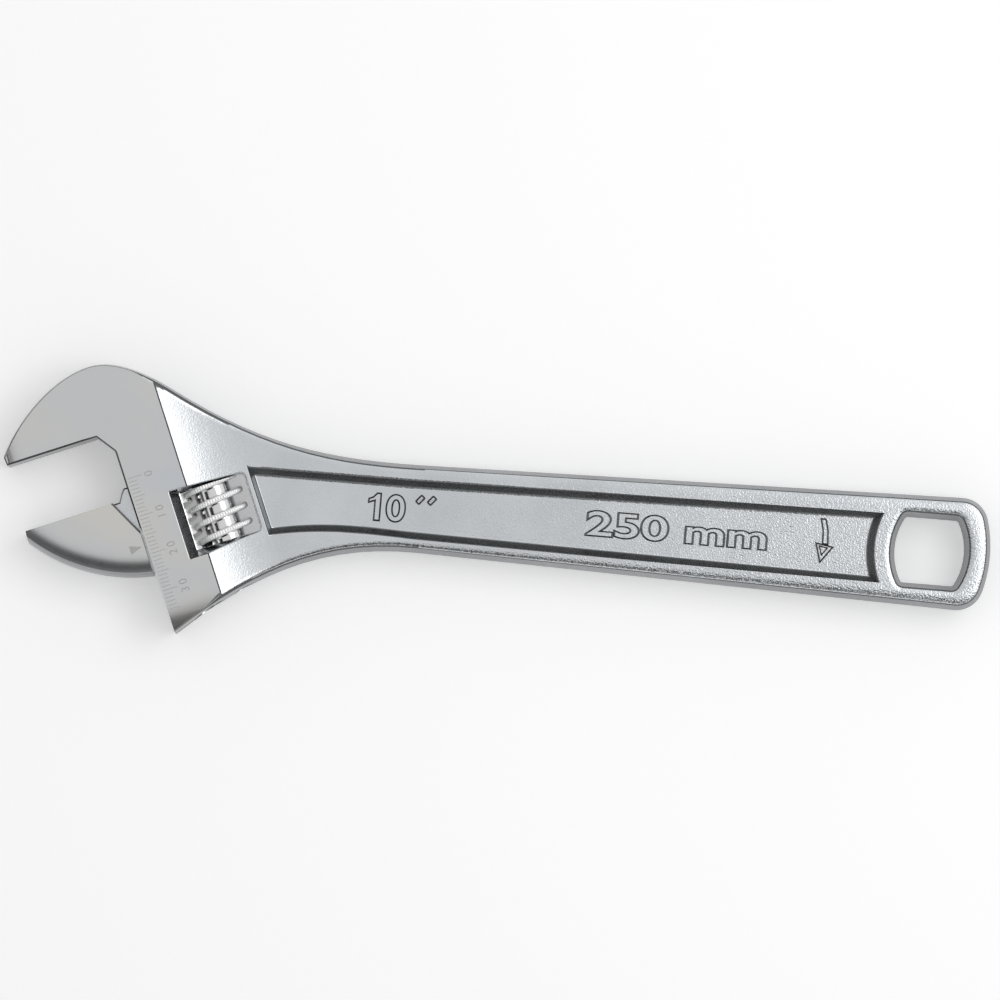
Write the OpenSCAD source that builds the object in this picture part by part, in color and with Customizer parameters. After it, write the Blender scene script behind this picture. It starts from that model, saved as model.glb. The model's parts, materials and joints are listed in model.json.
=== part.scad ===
// Adjustable wrench: a forged body, a sliding jaw with a rack, a knurled worm, its pin and its thrust spring.
//
// The handle frame has X along the handle, Y across it and Z through the thickness. Its datum is the point
// where the head's front face crosses the handle's centre line, at mid thickness. The head frame shares that
// datum and is turned by head_angle: its X runs along the jaws and its Y along the jaw's travel.

/* [Overall] */
// Length from the fixed jaw's tip to the end of the handle
overall_length = 254; // [235:1:300]
// Angle between the jaws and the handle
head_angle = 22.5; // [18:0.5:26]
// Gap between the two jaws as drawn
opening = 17.4; // [2:0.1:30]

/* [Head] */
// Thickness across the head's ground faces
head_t = 16; // [14:0.5:19]
// Length of the fixed jaw in front of the head's front face
jaw_reach = 27.7; // [24:0.1:31]
// Height of the fixed jaw's gripping face above the datum
face_y = 13.6; // [12:0.1:16]
// Height of the blunt tip of each jaw
tip_h = 2.9; // [2:0.1:4]
// Height of the crown above the datum
crown_y = 31.75; // [30:0.25:35]
// Depth of the head's lower corner below the datum
heel_y = 40.3; // [39:0.1:44]
// Width of the relief between the fixed jaw's face and the front face
throat_w = 3.4; // [2.4:0.1:4]
// Height of that relief
throat_h = 4.8; // [3:0.1:6]
// Width of the ground face behind the front face
ground_w = 14.6; // [13.5:0.1:18]
// Length of the hollow slope from the ground face down to the handle
slope_l = 23.4; // [18:0.1:30]
// Metal between the head's front face and the slide's bore
front_wall = 5.5; // [4.5:0.1:6.5]

/* [Handle] */
// Thickness across the handle's ribs
handle_t = 9.5; // [8.5:0.5:12]
// Thickness of the web between the two recesses
web_t = 5; // [4:0.5:7]
// Width of the handle where it leaves the neck
neck_w = 22.5; // [21:0.1:25]
// Width of the handle's sides where they would reach its end
end_w = 29.2; // [26:0.1:32]
// Distance from the datum to the narrowest point of the neck
neck_x = 76; // [70:1:85]
// Width of the rib round each recess
rib_w = 4.2; // [3.4:0.1:5]
// Run of the recess's sloping wall
recess_wall = 1.5; // [0.8:0.1:1.8]
// Radius of the handle's rounded end
end_r = 34; // [28:1:50]
// Size of the rounding at the end's two corners
end_corner = 5.5; // [4:0.1:7]

/* [Hanging hole] */
// Length of the hole along the handle, at the surface
hole_l = 20.2; // [16:0.1:24]
// Height of the hole across the handle, at the surface
hole_h = 19.2; // [16:0.1:20]
// Radius of the hole's two curved ends
hole_r = 18; // [15:0.5:30]
// Metal between the hole and the handle's end
hole_end_wall = 5.5; // [4:0.1:8]
// How much the hole narrows on each side towards mid thickness
hole_draft = 1.4; // [0.5:0.1:2]

/* [Jaw] */
// Radius of the curve under the moving jaw
belly_r = 44.2; // [42:0.1:47]
// Position of that curve's centre behind the front face
belly_x = 7.6; // [6.5:0.1:9]
// Position of that curve's centre above the moving jaw's face
belly_y = 22.7; // [22:0.1:24]
// Width of the bevel along the moving jaw's lower edge
belly_bevel = 5; // [3:0.1:6]
// Height of the relief behind the moving jaw's face
relief_h = 8.7; // [7:0.1:10]
// Width of that relief
relief_w = 4.4; // [3.5:0.1:5]
// Thickness of the neck that joins the jaw to its slide
neck_t = 5; // [4:0.1:6]
// Radius of the jaw's slide, which carries the rack
rod_r = 4.7; // [4.4:0.05:5]
// Height of the slide's top end above the moving jaw's face
rod_rise = 3; // [2.6:0.1:4]
// Number of grooves in the slide's rack
rack_grooves = 8; // [7:1:9]
// Distance of the first groove below the slide's top end
groove_top = 1.2; // [1:0.1:2.6]
// Length of the slide below the last groove
rod_tail = 2.7; // [2:0.1:3]

/* [Worm] */
// Pitch of the worm's thread and of the rack
pitch = 4.2; // [4:0.05:4.6]
// Radius of the worm over its knurled thread
worm_r = 7.6; // [7.2:0.05:8]
// Radius of the worm's core
core_r = 4.8; // [4.6:0.05:5]
// Width of the thread's crest
crest_w = 1.3; // [1:0.05:1.5]
// Width of the thread's base
base_w = 2.2; // [1.8:0.05:2.4]
// Length of the window that holds the worm, along its axis
window_h = 15.6; // [14:0.1:17]
// Distance of the window's middle below the datum
window_y = 14; // [13:0.1:15]
// Radius of the pin's plain shank
pin_r = 2.2; // [1.9:0.05:2.4]
// Radius of the pin's screwed end
screw_r = 2.7; // [2.5:0.05:3]
// Length of the pin's seat above the window
pin_seat = 4; // [3:0.1:5]
// Depth of the spring's pocket in the worm's upper end
spring_pocket = 4.6; // [4.2:0.1:5.5]
// Radius of the spring's wire
wire_r = 0.35; // [0.25:0.01:0.38]

/* [Clearances] */
// Running clearance of the slide in its bore, and of the worm on its pin
run_gap = 0.08; // [0.02:0.01:0.1]
// Clearance beside the jaw's neck, behind the jaw and at each end of the worm
side_gap = 0.2; // [0.1:0.05:0.3]
// Clearance on each flank between the worm's thread and the rack
flank_gap = 0.24; // [0.15:0.01:0.35]
// Clearance between the worm's crest and the bottom of the rack's grooves
tip_gap = 0.5; // [0.3:0.05:0.8]
// Clearance between the rack's tips and the worm's core
core_gap = 0.7; // [0.4:0.05:0.9]
// Clearance beside the worm in its window
window_gap = 1.5; // [1:0.1:2.5]
// Clearance round the pin in the body
fixed_gap = 0.03; // [0.01:0.01:0.08]

/* [Hidden] */
$fn = 96;
over = 1;                                  // how far a cutter runs past the surface that it cuts
far = overall_length;                      // longer than anything that it has to pass

// Slide, worm and pin, in the head frame
bore_r = rod_r + run_gap;
rod_x = front_wall + bore_r;
worm_x = rod_x + rod_r + core_gap + core_r;
root_x = worm_x - worm_r - tip_gap;        // bottom of the rack's grooves
worm_l = window_h - 2 * side_gap;
window_x0 = root_x - 0.2;                  // the window opens the slide's bore as far as the rack is deep
window_x1 = worm_x + worm_r + window_gap;
window_top = -window_y + window_h / 2;
window_bottom = -window_y - window_h / 2;
bore_top = face_y + rod_rise + 0.6;        // the slide stays short of it with the jaws closed
jaw_y = face_y - opening;
neck_slope = 1.3;                          // the neck's slot reaches this far forward at the top of the bore
neck_gap = 0.3;                            // clearance in front of the neck
rod_l = groove_top + (rack_grooves - 1) * pitch + rod_tail;
pocket_r = core_r - 1.1;                   // the spring's pocket leaves this much of the worm's core
pin_step = window_bottom - 2.6;            // where the pin's screwed end stops
flank = (base_w - crest_w) / 2 / (worm_r - core_r);
lead = atan(pitch / (2 * PI * (worm_r + core_r) / 2));
mesh_y = jaw_y + rod_rise - groove_top;    // height of the first groove
mesh_step = round((-window_y - mesh_y) / pitch);
thread_shift = mesh_y + mesh_step * pitch + window_y; // from the worm's middle to the groove next to it

// Curves
function turned(p, a) = [p.x * cos(a) - p.y * sin(a), p.x * sin(a) + p.y * cos(a)];
function from_head(list) = [for (p = list) turned(p, head_angle)];
function heading(a) = [cos(a), sin(a)];
function flipped(list) = [for (i = [len(list) - 1:-1:0]) [list[i].x, -list[i].y]];
// A smooth curve from a to b that leaves a along angle a1 and arrives at b along angle b1
function curve(a, b, a1, b1, pull_a, pull_b, n) =
    let (p = a + pull_a * heading(a1), q = b - pull_b * heading(b1))
    [for (i = [0:n]) let (t = i / n, u = 1 - t)
        u * u * u * a + 3 * u * u * t * p + 3 * u * t * t * q + t * t * t * b];
function circle_x(r, y) = sqrt(r * r - y * y);

// Outline of the forged body, in the handle frame
tip_lean = 0.3;                            // how far each jaw's tip leans back to its gripping face
tip = [-jaw_reach, face_y + tip_h];
crown = [0, crown_y];
shoulder = crown + [19, -12.35];
shoulder_angle = -49.5;
heel_angle = 20;                           // slope of the lower edge where it leaves the head's lower corner
crown_pull = 10;                           // the pulls set how far each curve keeps its end's direction
shoulder_pull = 7.3;
flare_pull = 26;
heel_pull = 22;
corner_pull = 3.4;
heel_corner = [[1.3, 0.1], [0.3, 0.4], [0, 1.2]]; // the rounding of the head's lower corner
handle_end = overall_length + turned(tip, head_angle).x;
taper = atan((end_w - neck_w) / 2 / (handle_end - neck_x));
function half_w(x) = neck_w / 2 + (x - neck_x) * tan(taper);
corner_y = half_w(handle_end) - end_corner;
corner_x = handle_end - end_r + circle_x(end_r, corner_y);
side_x = handle_end - 1.5 * end_corner;
heel = [0, -heel_y] + heel_corner[0];
jaw_edge = from_head(concat(
    [[0, face_y - throat_h], [-throat_w, face_y], [tip_lean - jaw_reach, face_y]],
    curve(tip, crown, 51, 0, crown_pull, crown_pull, 10),
    curve(crown, shoulder, 0, shoulder_angle, shoulder_pull, shoulder_pull, 8)));
upper_flare = curve(turned(shoulder, head_angle), [neck_x, half_w(neck_x)],
    shoulder_angle + head_angle, taper, flare_pull, flare_pull, 12);
corner_edge = curve([side_x, half_w(side_x)], [corner_x, corner_y],
    taper, asin(corner_y / end_r) - 90, corner_pull, corner_pull, 6);
end_edge = concat(
    corner_edge,
    [for (i = [1:7]) let (y = corner_y * (1 - i / 4)) [handle_end - end_r + circle_x(end_r, y), y]],
    flipped(corner_edge));
lower_flare = curve([neck_x, -half_w(neck_x)], turned(heel, head_angle),
    180 - taper, 180 + heel_angle + head_angle, flare_pull, heel_pull, 14);
body_outline = concat(jaw_edge, upper_flare, end_edge, lower_flare,
    from_head([for (i = [1, 2]) [0, -heel_y] + heel_corner[i]]));

// Height of the head's lower edge at the pin, in the head frame
lower_edge = [for (i = [len(lower_flare) - 1:-1:0]) let (p = turned(lower_flare[i], -head_angle)) [p.x, p.y]];
pin_edge = lookup(worm_x, lower_edge);

// The part's origin: the middle of the body's outline, at the underside of the head
box_x = (min([for (p = body_outline) p.x]) + max([for (p = body_outline) p.x])) / 2;
box_y = (min([for (p = body_outline) p.y]) + max([for (p = body_outline) p.y])) / 2;

module in_place() translate([-box_x, -box_y, head_t / 2]) children();
module in_head() in_place() rotate([0, 0, head_angle]) children();
module along_y() rotate([-90, 0, 0]) children();
module both_faces() {
    children();
    mirror([0, 0, 1]) children();
}

// A solid between two clockwise outlines of as many points, the lower at z0 and the upper at z1.
// An outline that isn't convex starts at its one inward corner.
module tapered(lower, upper, z0, z1) {
    n = len(lower);
    polyhedron(
        points = concat([for (p = lower) [p.x, p.y, z0]], [for (p = upper) [p.x, p.y, z1]]),
        faces = concat(
            [concat([0], [for (i = [n - 1:-1:1]) i])],
            [[for (i = [0:n - 1]) n + i]],
            [for (i = [0:n - 1]) [i, (i + 1) % n, n + i]],
            [for (i = [0:n - 1]) [(i + 1) % n, n + (i + 1) % n, n + i]]));
}

// A solid swept through rings of as many points each
module swept(rings) {
    n = len(rings[0]);
    last = (len(rings) - 1) * n;
    polyhedron(
        points = [for (ring = rings) each ring],
        faces = concat(
            [[for (j = [0:n - 1]) j]],
            [[for (j = [n - 1:-1:0]) last + j]],
            [for (i = [0:len(rings) - 2], j = [0:n - 1]) [i * n + j, (i + 1) * n + j, i * n + (j + 1) % n]],
            [for (i = [0:len(rings) - 2], j = [0:n - 1])
                [i * n + (j + 1) % n, (i + 1) * n + j, (i + 1) * n + (j + 1) % n]]));
}

// What the forging lacks above the handle: a hollow slope behind the ground face, then the handle's height
module above_handle() {
    drop = (head_t - handle_t) / 2;
    slope_r = (slope_l * slope_l + drop * drop) / (2 * drop);
    foot = ground_w + slope_l;
    slope = [for (i = [0:10]) let (x = slope_l * (1 - i / 10))
        [foot - x, handle_t / 2 + slope_r - circle_x(slope_r, x)]];
    rotate([0, 0, head_angle]) rotate([90, 0, 0]) linear_extrude(height = far, center = true)
        polygon(concat([[ground_w, head_t / 2 + over]], slope,
            [[far + foot, handle_t / 2], [far + foot, head_t / 2 + over]]));
}

// The recess in one face, whose walls slope out from the web to the rib
ledge_w = 1.4;                             // the ledge between the window and the recess
recess_x = window_x1 + ledge_w;            // where the recess starts, along the head frame's X
eye_x = handle_end - hole_end_wall - hole_l + hole_r; // centre of the arc between the recess and the hole
function on_start(x, y) = [(x - y * sin(head_angle)) / cos(head_angle), y];
waist_x = neck_x - 10;                     // where the recess's lower edge starts to flare to the window
function recess_outline(out) = [
    [waist_x, -half_w(waist_x) + rib_w - out],
    on_start(recess_x - out, turned([recess_x, window_bottom], head_angle).y + 0.3 - out),
    on_start(recess_x - out, half_w(neck_x / 2) - rib_w + out),
    [eye_x, half_w(eye_x) - rib_w + out],
    [eye_x, -half_w(eye_x) + rib_w - out]];
module recess() {
    depth = (handle_t - web_t) / 2;
    out = recess_wall * (depth + over) / depth;
    difference() {
        tapered(recess_outline(-recess_wall), recess_outline(out - recess_wall), web_t / 2, handle_t / 2 + over);
        translate([eye_x, 0, web_t / 2 - over]) cylinder(
            r1 = hole_r + rib_w + recess_wall * (1 + over / depth),
            r2 = hole_r + rib_w + recess_wall - recess_wall * (depth + over) / depth, h = depth + 2 * over);
    }
}

// The hanging hole, which narrows from each face to mid thickness
function hole_outline(narrow) =
    let (r = hole_r - narrow, y = hole_h / 2 - narrow, other_x = handle_end - hole_end_wall - hole_r, n = 8)
    concat([for (i = [0:n]) let (v = y * (2 * i / n - 1)) [eye_x - circle_x(r, v), v]],
        [for (i = [0:n]) let (v = y * (1 - 2 * i / n)) [other_x + circle_x(r, v), v]]);
module hanging_hole() both_faces() {
    rise = hole_draft * over / (handle_t / 2);
    tapered(hole_outline(hole_draft + rise / 2), hole_outline(-rise), -over / 2, handle_t / 2 + over);
}

// The window for the worm, with a flared mouth on each face
flare = [2.6, 1.8, 1.5];                   // how far the mouth widens at the slide, at the ledge and at the ends
function window_outline(left, right, ends) = [
    [window_x0 - left, window_bottom - ends], [window_x0 - left, window_top + ends],
    [window_x1 + right, window_top + ends], [window_x1 + right, window_bottom - ends]];
module window() {
    linear_extrude(height = head_t + 2 * over, center = true) polygon(window_outline(0, 0, 0));
    both_faces() tapered(window_outline(-0.3, -0.3, -0.3), window_outline(flare[0], flare[1], flare[2]),
        bore_r - 0.8, head_t / 2 + 0.2);
}

// The bore for the slide, the slot for the neck and the stepped hole for the pin
module slideway() {
    translate([rod_x, -far, 0]) along_y() cylinder(r = bore_r, h = far + bore_top);
    linear_extrude(height = neck_t + 2 * side_gap, center = true)
        polygon([[rod_x, -far], [rod_x, bore_top], [-neck_slope, bore_top], [-throat_w, face_y + side_gap],
            [-throat_w, face_y - throat_h], [-throat_w, -far]]);
}
module pin_hole() {
    shank = window_top + pin_seat - pin_step;
    translate([worm_x, pin_step, 0]) along_y() cylinder(r = pin_r + fixed_gap, h = shank);
    translate([worm_x, -far, 0]) along_y() cylinder(r = screw_r + fixed_gap, h = far + pin_step);
}

module forged_body() color("silver") difference() {
    in_place() linear_extrude(height = head_t, center = true) polygon(body_outline);
    in_place() both_faces() above_handle();
    in_place() both_faces() recess();
    in_place() hanging_hole();
    in_head() window();
    in_head() slideway();
    in_head() pin_hole();
}

// The moving jaw: its frame has Y at the gripping face
jaw_back = -side_gap;
jaw_tip = -jaw_reach - 0.6;                // the moving jaw reaches a little further than the fixed one
rim = [1.3, 1.2];                          // the belly's bevel is steeper over this much of its rim
module hook() intersection() {
    linear_extrude(height = head_t, center = true)
        polygon([[jaw_tip + tip_lean, 0], [jaw_back - relief_w, 0], [jaw_back, -relief_h],
            [jaw_back, -belly_r], [jaw_tip - over, -belly_r], [jaw_tip, -tip_h]]);
    translate([belly_x, belly_y, 0]) rotate_extrude()
        polygon([[0, -head_t / 2], [belly_r - belly_bevel, -head_t / 2],
            [belly_r - rim[0], rim[1] - head_t / 2], [belly_r, 0], [belly_r - rim[0], head_t / 2 - rim[1]],
            [belly_r - belly_bevel, head_t / 2], [0, head_t / 2]]);
}
module neck() {
    below_face = 0.1;                      // the neck's front stays this much under the gripping face
    sunk = 0.4;                            // the neck starts this far inside the jaw
    web_end = belly_y - circle_x(belly_r, belly_x) + 0.6;
    linear_extrude(height = neck_t, center = true)
        polygon([[jaw_back - relief_w - sunk, -1], [jaw_back - relief_w, -below_face],
            [-throat_w + neck_gap, -below_face], [neck_gap - neck_slope - 0.9, rod_rise - 1.1],
            [neck_gap - neck_slope, rod_rise], [rod_x, rod_rise],
            [rod_x, web_end - 4], [jaw_back, web_end], [jaw_back - relief_w - sunk, web_end + 3]]);
}
module groove() {
    deep = crest_w / 2 - tip_gap * flank + flank_gap;
    wide = deep + (core_r - core_gap) * flank;
    open_x = root_x + core_r - core_gap;
    rotate([-lead, 0, 0]) linear_extrude(height = 4 * rod_r, center = true)
        polygon([[root_x, -deep], [open_x, -wide], [open_x, wide], [root_x, deep]]);
}
module slide() difference() {
    translate([rod_x, rod_rise - rod_l, 0]) along_y() cylinder(r = rod_r, h = rod_l);
    for (i = [0:rack_grooves - 1]) translate([0, rod_rise - groove_top - i * pitch, 0]) groove();
}
module movable_jaw() color("gainsboro") in_head() translate([0, jaw_y, 0]) {
    hook();
    neck();
    slide();
}

// The worm: Y along its axis, from its middle
module thread() {
    root = core_r - 0.4;
    root_w = base_w / 2 + 0.4 * flank;
    end_l = worm_l / 2;
    start = (0.3 - end_l - thread_shift) / pitch * 360;
    stop = (end_l - 0.3 - thread_shift) / pitch * 360;
    steps = ceil((stop - start) / 10);
    function kept(y) = max(-end_l, min(end_l, y));
    swept([for (i = [0:steps]) let (a = start + (stop - start) * i / steps, y = thread_shift + pitch * a / 360)
        [for (p = [[root, root_w], [worm_r, crest_w / 2], [worm_r, -crest_w / 2], [root, -root_w]])
            [-p.x * cos(a), kept(y + p.y), p.x * sin(a)]]]);
}
module knurled_worm() color("darkgray") in_head() translate([worm_x, -window_y, 0]) difference() {
    union() {
        translate([0, -worm_l / 2, 0]) along_y() cylinder(r = core_r, h = worm_l);
        thread();
    }
    translate([0, -far, 0]) along_y() cylinder(r = pin_r + run_gap, h = 2 * far);
    translate([0, worm_l / 2 - spring_pocket, 0]) along_y() cylinder(r = pocket_r, h = far);
}

// The pin: a plain shank with a slotted, screwed end
module worm_pin() color("dimgray") in_head() translate([worm_x, 0, 0]) {
    foot = pin_edge + 0.8;
    translate([0, pin_step, 0]) along_y() cylinder(r = pin_r, h = window_top + pin_seat - 0.2 - pin_step);
    difference() {
        translate([0, foot, 0]) along_y() cylinder(r = screw_r, h = pin_step - foot);
        translate([-far / 2, foot - over, -0.5]) cube([far, over + 1.2, 1]);
    }
}

// The thrust spring, with a closed turn at each end
module thrust_spring() color("gray") in_head() translate([worm_x, window_top - 0.05 - wire_r, 0]) {
    length = side_gap + spring_pocket - 0.1 - 2 * wire_r;
    closed = 2 * wire_r + 0.06;
    turns = 4;
    mean_r = (pin_r + pocket_r) / 2;
    steps = turns * 18;
    swept([for (i = [0:steps]) let (n = turns * i / steps, a = 360 * n,
            y = -lookup(n, [[0, 0], [1, closed], [turns - 1, length - closed], [turns, length]]))
        [for (j = [0:7]) let (r = mean_r + wire_r * cos(45 * j))
            [r * cos(a), y + wire_r * sin(45 * j), r * sin(a)]]]);
}

forged_body();
movable_jaw();
knurled_worm();
worm_pin();
thrust_spring();
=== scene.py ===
import bpy
import bmesh
import json
from math import asin, atan, atan2, copysign, cos, degrees, hypot, pi, radians, sin, sqrt, tan
from mathutils import Matrix, Vector


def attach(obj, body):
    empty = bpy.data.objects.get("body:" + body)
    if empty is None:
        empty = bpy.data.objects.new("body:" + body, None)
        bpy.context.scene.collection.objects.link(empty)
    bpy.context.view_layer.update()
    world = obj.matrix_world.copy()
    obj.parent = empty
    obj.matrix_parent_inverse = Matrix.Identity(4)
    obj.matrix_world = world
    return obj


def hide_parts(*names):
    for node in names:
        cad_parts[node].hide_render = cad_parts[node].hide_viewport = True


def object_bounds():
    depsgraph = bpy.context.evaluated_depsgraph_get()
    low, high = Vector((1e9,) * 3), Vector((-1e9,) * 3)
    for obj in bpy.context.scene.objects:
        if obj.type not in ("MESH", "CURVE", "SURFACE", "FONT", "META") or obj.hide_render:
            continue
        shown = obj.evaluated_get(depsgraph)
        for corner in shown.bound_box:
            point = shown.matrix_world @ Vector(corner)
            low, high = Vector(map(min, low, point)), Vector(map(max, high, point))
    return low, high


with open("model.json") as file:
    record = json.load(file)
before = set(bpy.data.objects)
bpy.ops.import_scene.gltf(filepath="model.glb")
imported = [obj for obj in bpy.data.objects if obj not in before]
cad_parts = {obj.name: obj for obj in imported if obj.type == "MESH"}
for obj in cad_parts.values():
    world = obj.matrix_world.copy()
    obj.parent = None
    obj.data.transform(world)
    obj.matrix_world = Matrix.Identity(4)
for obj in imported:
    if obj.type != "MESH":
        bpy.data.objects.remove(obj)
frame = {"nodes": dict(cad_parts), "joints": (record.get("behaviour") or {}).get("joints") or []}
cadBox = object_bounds()
print("frame loaded:", sorted(frame["nodes"]))

# Lengths are in millimetres. The handle frame has X along the handle and starts where the head's front face
# crosses its centre line, at mid thickness. The head frame is turned so that Y runs along the jaw's travel.
mm = 0.001
joints = {joint["name"]: joint for joint in frame["joints"]}
travel = Vector(joints["jaw_slide"]["axis"])
headTurn = Matrix.Rotation(atan2(travel.x, -travel.y), 4, "Z")
wormSpot = Vector((20.48, -14, 0))          # the worm's middle in the head frame
datum = Vector(joints["worm_spin"]["pos_m"]) - (headTurn @ wormSpot) * mm
handlePlace = Matrix.Translation(datum) @ Matrix.Scale(mm, 4)
headPlace = handlePlace @ headTurn
jawFaceY = -3.8                             # the moving jaw's face at rest, in the head frame


def heading(angle):
    return Vector((cos(radians(angle)), sin(radians(angle)), 0))


def inHead(x, y):
    return headTurn @ Vector((x, y, 0))


def headOf(point):
    return headTurn.inverted() @ point


def blendStep(value, low, high):
    share = min(1.0, max(0.0, (value - low) / (high - low)))
    return share * share * (3 - 2 * share)


# A knot is a point of a closed outline, with the heading and the pull of the curve on each side of it.
def knot(point, angleIn=0, pullIn=0, angleOut=0, pullOut=0):
    point = Vector((point[0], point[1], 0))
    return point, point - heading(angleIn) * pullIn, point + heading(angleOut) * pullOut, pullIn, pullOut


# Each item once, in the order given, so that every run makes the same mesh
def onceEach(items):
    return list(dict.fromkeys(items))


def outlineFace(bm, knots, height, steps=12):
    curve = bpy.data.curves.new("outline", "CURVE")
    curve.dimensions = "2D"
    curve.fill_mode = "NONE"
    curve.resolution_u = steps
    spline = curve.splines.new("BEZIER")
    spline.bezier_points.add(len(knots) - 1)
    spline.use_cyclic_u = True
    for bezier, (point, left, right, pullIn, pullOut) in zip(spline.bezier_points, knots):
        bezier.handle_left_type = "FREE" if pullIn else "VECTOR"
        bezier.handle_right_type = "FREE" if pullOut else "VECTOR"
        bezier.co = point
        bezier.handle_left = left
        bezier.handle_right = right
    holder = bpy.data.objects.new("outline", curve)
    start = len(bm.verts)
    bm.from_mesh(holder.to_mesh())
    holder.to_mesh_clear()
    bpy.data.objects.remove(holder)
    bpy.data.curves.remove(curve)
    bm.verts.ensure_lookup_table()
    fresh = bm.verts[start:]
    bmesh.ops.remove_doubles(bm, verts=fresh, dist=1e-4)
    fresh = [vert for vert in fresh if vert.is_valid]
    bmesh.ops.translate(bm, verts=fresh, vec=(0, 0, height))
    edges = onceEach(edge for vert in fresh for edge in vert.link_edges)
    face = bmesh.ops.contextual_create(bm, geom=edges)["faces"][0]
    face.normal_update()
    if face.normal.z < 0:
        face.normal_flip()
    return face


def corners(points):
    return [knot(point) for point in points]


def raised(bm, face, height):
    top = bmesh.ops.extrude_face_region(bm, geom=[face])["geom"]
    verts = [item for item in top if isinstance(item, bmesh.types.BMVert)]
    bmesh.ops.translate(bm, verts=verts, vec=(0, 0, height))
    return next(item for item in top if isinstance(item, bmesh.types.BMFace))


def prism(knots, low, high):
    bm = bmesh.new()
    raised(bm, outlineFace(bm, knots, low), high - low)
    bmesh.ops.recalc_face_normals(bm, faces=bm.faces)
    return bm


# The points of an outline, anticlockwise from its first knot
def outlineSpots(knots, height, steps, cornerRadius=0):
    bm = bmesh.new()
    face = outlineFace(bm, knots, height, steps)
    if cornerRadius:
        sharp = [loop.vert for loop in face.loops if loop.calc_angle() < radians(150)]
        rounding(bm, sharp, cornerRadius, 5, "VERTICES")
        face = bm.faces[:][0]
    spots = [loop.vert.co.copy() for loop in face.loops]
    bm.free()
    first = min(range(len(spots)), key=lambda i: (spots[i].xy - knots[0][0].xy).length)
    return spots[first:] + spots[:first]


# A solid whose skin runs through several outlines that have their points in the same order
def solidThrough(levels):
    bm = bmesh.new()
    verts = [bm.verts.new(spot) for spot in levels[0]]
    order = {vert: i for i, vert in enumerate(verts)}
    face = bm.faces.new(verts)
    for level, spots in enumerate(levels[1:]):
        last, face = face, raised(bm, face, 0)
        under = {vert: next(edge.other_vert(vert) for edge in vert.link_edges if face not in edge.link_faces)
                 for vert in face.verts}
        order = {vert: order[under[vert]] for vert in face.verts}
        for vert in face.verts:
            vert.co = spots[order[vert]]
        if level:
            bm.faces.remove(last)
    bmesh.ops.recalc_face_normals(bm, faces=bm.faces)
    return bm


# A solid in layers. For a point of the outline, the profile gives how far inside it and how high each layer
# runs there.
def layered(knots, profile, steps=12, cornerRadius=0):
    up = Vector((0, 0, 1))
    spots = outlineSpots(knots, 0, steps, cornerRadius)
    levels = [[] for _ in profile(spots[0])]
    for before, spot, after in zip(spots[-1:] + spots, spots, spots[1:] + spots[:1]):
        back = up.cross(spot - before).normalized()
        on = up.cross(after - spot).normalized()
        inward = (back + on) / (1 + back.dot(on))
        for level, (inset, height) in zip(levels, profile(spot)):
            level.append(spot + inward * inset + up * height)
    return solidThrough(levels)


# The points of a line in a section, with an arc of the given radius at each inner corner
def rounded(points, radii):
    line, steps = [points[0]], 4
    for before, corner, after, radius in zip(points, points[1:], points[2:], radii):
        corner = Vector(corner)
        back = (Vector(before) - corner).normalized()
        on = (Vector(after) - corner).normalized()
        half = back.angle(on) / 2
        centre = corner + (back + on).normalized() * (radius / sin(half))
        start = corner + back * (radius / tan(half)) - centre
        end = corner + on * (radius / tan(half)) - centre
        line += [tuple(centre + start.slerp(end, i / steps) * radius) for i in range(steps + 1)]
    return line + [points[-1]]


def rounding(bm, geom, offset, segments, affect="EDGES"):
    bmesh.ops.bevel(bm, geom=geom, offset=offset, offset_type="OFFSET", segments=segments, affect=affect,
                    profile=0.5, material=-1)


# The lower half of a piece, as a copy of the upper one
def mirrorDown(bm):
    bmesh.ops.mirror(bm, geom=bm.verts[:] + bm.edges[:] + bm.faces[:], axis="Z", merge_dist=0.001)
    bmesh.ops.remove_doubles(bm, verts=bm.verts, dist=0.001)


# The same mesh in an order that its shape alone decides, so that every run gives the same result
def inOrder(bm):
    verts = sorted(bm.verts, key=lambda vert: tuple(vert.co))
    rank = {vert: i for i, vert in enumerate(verts)}
    rings = sorted(([rank[vert] for vert in face.verts] for face in bm.faces), key=sorted)
    fresh = bmesh.new()
    freshVerts = [fresh.verts.new(vert.co) for vert in verts]
    for ring in rings:
        fresh.faces.new([freshVerts[i] for i in ring])
    fresh.normal_update()
    bm.free()
    return fresh


def objectFrom(bm, name, *materials):
    mesh = bpy.data.meshes.new(name)
    bm = inOrder(bm)
    bm.to_mesh(mesh)
    bm.free()
    piece = bpy.data.objects.new(name, mesh)
    bpy.context.scene.collection.objects.link(piece)
    for material in materials:
        mesh.materials.append(material)
    return piece


def meshOf(piece):
    bm = bmesh.new()
    bm.from_mesh(piece.data)
    return bm


def carve(piece, bm, how="DIFFERENCE"):
    cutter = objectFrom(bm, "cutter")
    modifier = piece.modifiers.new("carve", "BOOLEAN")
    modifier.operation = how
    modifier.solver = "EXACT"
    modifier.object = cutter
    graph = bpy.context.evaluated_depsgraph_get()
    mesh = bpy.data.meshes.new_from_object(piece.evaluated_get(graph))
    piece.modifiers.clear()
    piece.data = mesh
    bpy.data.objects.remove(cutter)


# A rod along Y from low to high, round the axis at x
def rodAlongY(x, low, high, radius, segments=64):
    bm = bmesh.new()
    bmesh.ops.create_cone(bm, cap_ends=True, segments=segments, radius1=radius, radius2=radius,
                          depth=high - low)
    bmesh.ops.rotate(bm, verts=bm.verts, matrix=Matrix.Rotation(pi / 2, 3, "X"))
    bmesh.ops.translate(bm, verts=bm.verts, vec=(x, (low + high) / 2, 0))
    bmesh.ops.recalc_face_normals(bm, faces=bm.faces)
    return bm


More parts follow.
